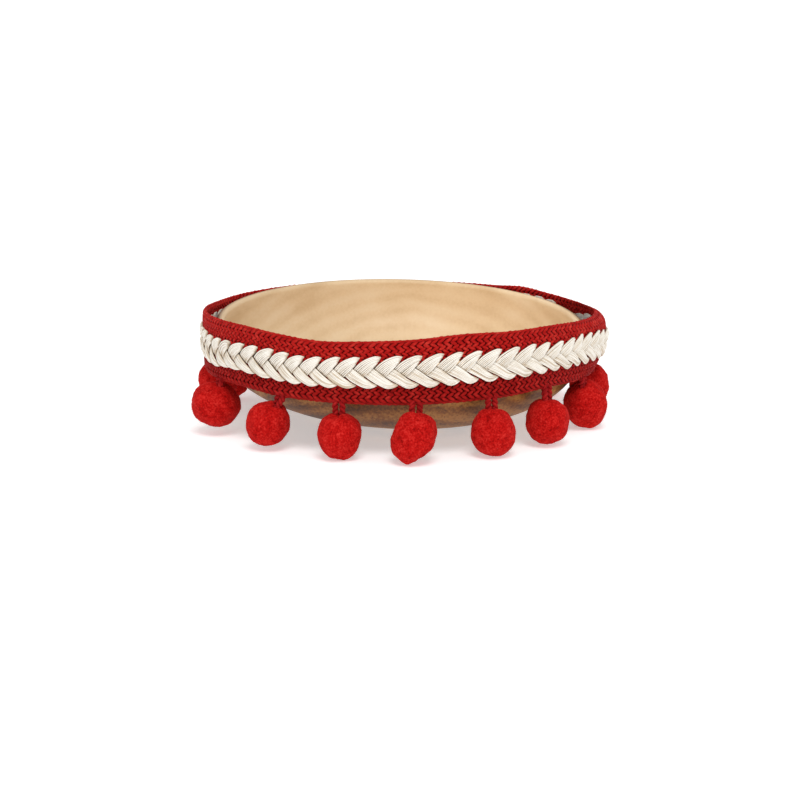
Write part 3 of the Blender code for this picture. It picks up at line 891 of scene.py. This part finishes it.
def make_plait(material):
    """The plait's three strands of 8 threads each.

    The threads carry painted shade: bright on both faces of the plait and dark between
    them, bright on their crowns and dark on their sides. Each is also a little darker here
    and there, the lower petals' most.
    """
    upright = np.array([1.0, 0.0, 1.0]) / math.sqrt(2)
    dark, lower_dark, bright, least = THREAD_CREASE_SHADE
    front, back, fade = PLAIT_SHADE_DEPTHS
    for strand in range(3):
        rng = np.random.default_rng(PLAIT_SEED + strand)
        skins, shades = [], []
        for path in strand_paths(strand, rng):
            path = cut_to_run(path)
            slip_and_drop(path)
            wide = THREAD_ACROSS * (1 + chance(THREAD_SWELL, path[:, 0], int(rng.integers(9999))))
            skins.append(tube_skin(path, wide, THREAD_ACROSS, THREAD_SIDES, upright))
            darker = chance(THREAD_SHADE, path[:, 0], STRAND_THREADS * strand + len(skins))
            low = np.clip(-path[:, 1] / MM, 0, 1)
            shade = 1 - (1 + LOWER_SHADE * low) * np.maximum(darker, 0)
            shades.append(np.repeat(shade, THREAD_SIDES))
        first = strand * STRAND_THREADS
        points, quads, sheet = gather(skins, THREAD_SIDES, range(first, first + STRAND_THREADS))
        # painted shade: the lift darkens the threads between the plait's faces and on their sides
        depth = points[:, 2] / MM
        lift = np.clip(np.maximum(depth - front, back - depth) / fade, 0, 1)
        crease = dark + lower_dark * np.clip(-points[:, 1] / MM, 0, 1)
        ridge = np.clip((crown(skins) - crease) / (bright - crease), 0, 1)
        lift = lift * (least + (1 - least) * ridge) * np.concatenate(shades)
        make_piece(f"plait_strand_{strand + 1}", carry_round(points), quads, NO_TRIANGLES,
                   sheet, material, "plait", lift)


# ==== the pompoms ====

def pompom_frame(row):
    """A pompom's loop root, its ball's middle, its three ways and its half sizes."""
    loop_angle, ball_angle = np.radians(row[:2])
    out, up, wide, tall = np.array(row[2:]) * MM
    wide, tall = 0.5 * wide, 0.5 * tall
    mid_face = -0.5 * BRAID_THICK
    root = ring_place(loop_angle, mid_face, lie(loop_angle, "lower_mm") - GAP)
    flat_middle = ring_place(ball_angle, mid_face + out, 0.0)
    reach = tall
    for _ in range(HANG_ROUNDS):
        middle = flat_middle + np.array([0.0, 0.0, up + reach])
        hang = unit(root - middle)
        reach = math.sqrt((tall * hang[2]) ** 2 + wide ** 2 * (1 - hang[2] ** 2))
    side = np.array([math.cos(loop_angle), math.sin(loop_angle), 0.0])
    side = unit(side - hang * (side @ hang))
    inward = np.cross(hang, side)
    return root, middle, (side, inward, hang), wide, tall


def felt_shape(ways, number, wide, tall):
    """How far the felt stands out in each direction from the ball's middle.

    An egg's radius, plus lumps of four sizes, plus this pompom's own nubs, less the
    slit and the dent at the top, where the loop's two strands pull in.
    """
    egg = 1 / np.sqrt((ways[..., 0] ** 2 + ways[..., 1] ** 2) / wide ** 2
                      + ways[..., 2] ** 2 / tall ** 2)
    radius = egg - FELT_TUCK
    for order, (wave, height) in enumerate(FELT_LUMPS):
        radius = radius + height * MM * lumps(ways * wide / MM, wave, FELT_SEEDS * number + order)
    for which, place, height, spread in POMPOM_NUBS:
        if which == number:
            spot = unit(np.array([place[0], -place[1], place[2]]))
            apart = np.degrees(np.arccos(np.clip(ways @ spot, -1, 1)))
            radius = radius + height * MM * np.exp(-(apart / spread) ** 2)
    pulled = sum(depth * np.exp(-(ways[..., 0] / long) ** 2 - (ways[..., 1] / deep) ** 2)
                 for depth, long, deep in LOOP_DENTS)
    return radius - pulled * MM * (ways[..., 2] > 0)


def to_space(local, middle, axes):
    """Places in a ball's own ways (side, inward, up) put in space, clear of the floor."""
    place = middle + local @ np.array(axes)
    place[:, 2] = np.maximum(place[:, 2], FLOOR_CLEAR)
    return place


def ball_points(number, middle, axes, wide, tall):
    """The ball's grid: rings from its lowest point to its top, and a point at each pole.

    Each point is its direction, by latitude and longitude, times the felt's radius there.
    """
    lat = (math.pi * (np.arange(1, BALL_RINGS) / BALL_RINGS - 0.5))[:, None]
    lon = (TURN * np.arange(BALL_ROUND) / BALL_ROUND)[None, :]
    ways = np.stack((np.cos(lat) * np.sin(lon), -np.cos(lat) * np.cos(lon),
                     np.sin(lat) + 0 * lon), -1)
    poles = np.array([[0.0, 0.0, -1.0], [0.0, 0.0, 1.0]])
    ways = np.concatenate((ways.reshape(-1, 3), poles))
    return to_space(ways * felt_shape(ways, number, wide, tall)[:, None], middle, axes)


def fuzz(number, middle, axes, wide, tall, first):
    """Short bent hairs on the felt: each a thin three-sided spike in two steps.

    A hair starts just under the felt, leans a random way from straight out, and bends
    over as it goes. Its width tapers to a point.
    """
    rng = np.random.default_rng(FUZZ_SEED + number)
    ways = unit(rng.normal(size=(FUZZ_HAIRS, 3)))
    ways = ways[ways[:, 2] < FUZZ_BARE]
    start = ways * (felt_shape(ways, number, wide, tall) - FUZZ_ROOT)[:, None]
    lean = rng.normal(size=ways.shape)
    lean = unit(lean - ways * (lean * ways).sum(-1, keepdims=True))
    length = rng.uniform(*FUZZ_LONG, len(ways))[:, None]
    short, slant, bend = FUZZ_BEND
    spine = [start + length * (ways * (t - short * t * t) + lean * (slant * t + bend * t * t))
             for t in (0.0, 0.45, 1.0)]
    bristle = np.cross(ways, lean)
    rings = []
    for spot, size in zip(spine[:-1], FUZZ_TAPER):
        for turn in (0, TURN / 3, 2 * TURN / 3):
            rings.append(spot + FUZZ_WIDE * 0.5 * size
                         * (lean * math.cos(turn) + bristle * math.sin(turn)))
    rings.append(spine[-1])
    place = to_space(np.stack(rings, 1).reshape(-1, 3), middle, axes)
    base = first + 7 * np.arange(len(ways))[:, None]
    quads = np.concatenate([base + face for face in ((0, 1, 4, 3), (1, 2, 5, 4), (2, 0, 3, 5))])
    triangles = np.concatenate([base + face for face in
                                ((3, 4, 6), (4, 5, 6), (5, 3, 6), (2, 1, 0))])
    return place, quads, triangles


def make_ball(number, middle, axes, wide, tall, material):
    """One felted ball with its fuzz, in one mesh."""
    points = ball_points(number, middle, axes, wide, tall)
    rows = BALL_RINGS - 1
    quads, sheet = round_faces(rows, BALL_ROUND)
    hairs, hair_quads, hair_triangles = fuzz(number, middle, axes, wide, tall, len(points))
    quads = np.concatenate((quads, hair_quads))
    triangles = np.concatenate((pole_faces(rows, BALL_ROUND), hair_triangles))
    mapped = np.zeros((quads.size + triangles.size, 2))
    mapped[:len(sheet)] = sheet / (BALL_ROUND, rows)
    name = f"pompom_{number:02d}"
    make_piece(name + "_felt", np.concatenate((points, hairs)), quads, triangles, mapped,
               material, name)


def make_loop(number, root, middle, axes, tall, material):
    """The loop's two strands, each of two plies twisted round each other.

    A ply's path is its strand's straight middle line, a little bowed outward, plus a
    circle of the orbit's size that turns once in the twist's length. The two strands
    may be twisted about each other on their way down.
    """
    side, inward, hang = axes
    target = middle + hang * (tall - LOOP_SINK)
    share = np.linspace(0, 1, LOOP_STEPS)[:, None]
    skins, ply_shades = [], []
    top = root + hang * LOOP_TUCK
    twist = math.radians(LOOP_TWISTS.get(number, 0.0)) * share
    across = side * np.cos(twist) + inward * np.sin(twist)
    run = np.linalg.norm(target - top) * share
    for way in (-1, 1):
        apart = (0.5 * LOOP_SPREAD * (1 - (1 - LOOP_CLOSE) * share)
                 + LOOP_BOW * np.sin(math.pi * share))
        line = top + (target - top) * share + across * (way * apart)
        for ply in (0, 1):
            turn = way * TURN * run / PLY_TWIST + math.pi * ply + PLY_START * number
            orbit = side * np.cos(turn) + inward * np.sin(turn)
            skin = tube_skin(line + PLY_ORBIT * orbit, PLY_WIDE, PLY_WIDE, PLY_SIDES, inward)
            # painted shade: a ply darkens towards its strand's middle, where the two plies meet
            out = np.linalg.norm(skin - line[:, None], axis=-1) / MM
            skins.append(skin)
            ply_shades.append(np.clip((out - PLY_SHADE[0]) / PLY_SHADE[1], 0, 1).reshape(-1))
    points, quads, sheet = gather(skins, PLY_SIDES, range(4))
    name = f"pompom_{number:02d}"
    make_piece(name + "_loop", points, quads, NO_TRIANGLES, sheet, material, name,
               np.concatenate(ply_shades))


# ==== the studio ====

def make_floor():
    """A wide pale floor, a little lit."""
    floor = bpy.data.meshes.new("floor")
    corners = [(x * FLOOR_REACH, y * FLOOR_REACH, 0)
               for x, y in ((-1, -1), (1, -1), (1, 1), (-1, 1))]
    floor.from_pydata(corners, [], [(0, 1, 2, 3)])
    _, finish = new_material("pale floor", 0.9, 0.1)
    floor.materials.append(finish({"Base Color": (0.80, 0.80, 0.80, 1.0),
                                   "Emission Color": (1.0, 1.0, 1.0, 1.0),
                                   "Emission Strength": FLOOR_GLOW}))
    ground = put_in_scene("floor", floor)


def make_studio():
    """A pale light all round, dimmer overhead, one soft key and the camera."""
    world = bpy.data.worlds.new("studio")
    world.use_nodes = True
    fill, add = node_ways(world.node_tree)
    split = add("SeparateXYZ", {"Vector": add("TexCoord")["Generated"]})
    fade = add("MapRange", {"From Min": 0.15, "From Max": 0.45, "To Min": HORIZON_LIGHT,
                            "To Max": OVERHEAD_LIGHT, "Value": split["Z"]})
    fill(world.node_tree.nodes["Background"],
         {"Strength": fade["Result"], "Color": (1.0, 1.0, 1.0, 1.0)})
    bpy.context.scene.world = world
    lamp = bpy.data.lights.new("key", "SUN")
    lamp.energy = KEY_POWER
    lamp.angle = KEY_SPREAD
    key = put_in_scene("key", lamp)
    key.location = KEY_FROM
    x, y, z = KEY_FROM
    key.rotation_euler = (math.atan2(math.hypot(x, y), z), 0.0, math.atan2(y, x) + 0.5 * math.pi)
    lens = bpy.data.cameras.new("camera")
    lens.lens = CAMERA_LENS
    lens.sensor_width = 36.0
    camera = put_in_scene("camera", lens)
    back = np.array([0.0, -math.cos(CAMERA_PITCH), math.sin(CAMERA_PITCH)])
    camera.location = CAMERA_TARGET + CAMERA_AWAY * back
    camera.rotation_euler = (0.5 * math.pi - CAMERA_PITCH, 0.0, 0.0)
    bpy.context.scene.camera = camera
    bpy.context.scene.view_settings.view_transform = "Standard"


def main():
    """The materials, the pieces from the bowl outward, and the studio."""
    wood = wood_material()
    red, shaded_red, white, loop = (yarn_material(name, *row) for name, row in YARNS.items())
    felt = felt_material()
    make_bowl(wood)
    make_braid("braid_upper", red, seed=11)
    # the lower braid's yarn is the red one with painted shade
    make_braid("braid_lower", shaded_red, seed=23)
    make_plait(white)
    for number, row in enumerate(POMPOMS, start=1):
        root, middle, axes, wide, tall = pompom_frame(row)
        make_ball(number, middle, axes, wide, tall, felt)
        make_loop(number, root, middle, axes, tall, loop)
    make_floor()
    make_studio()


main()
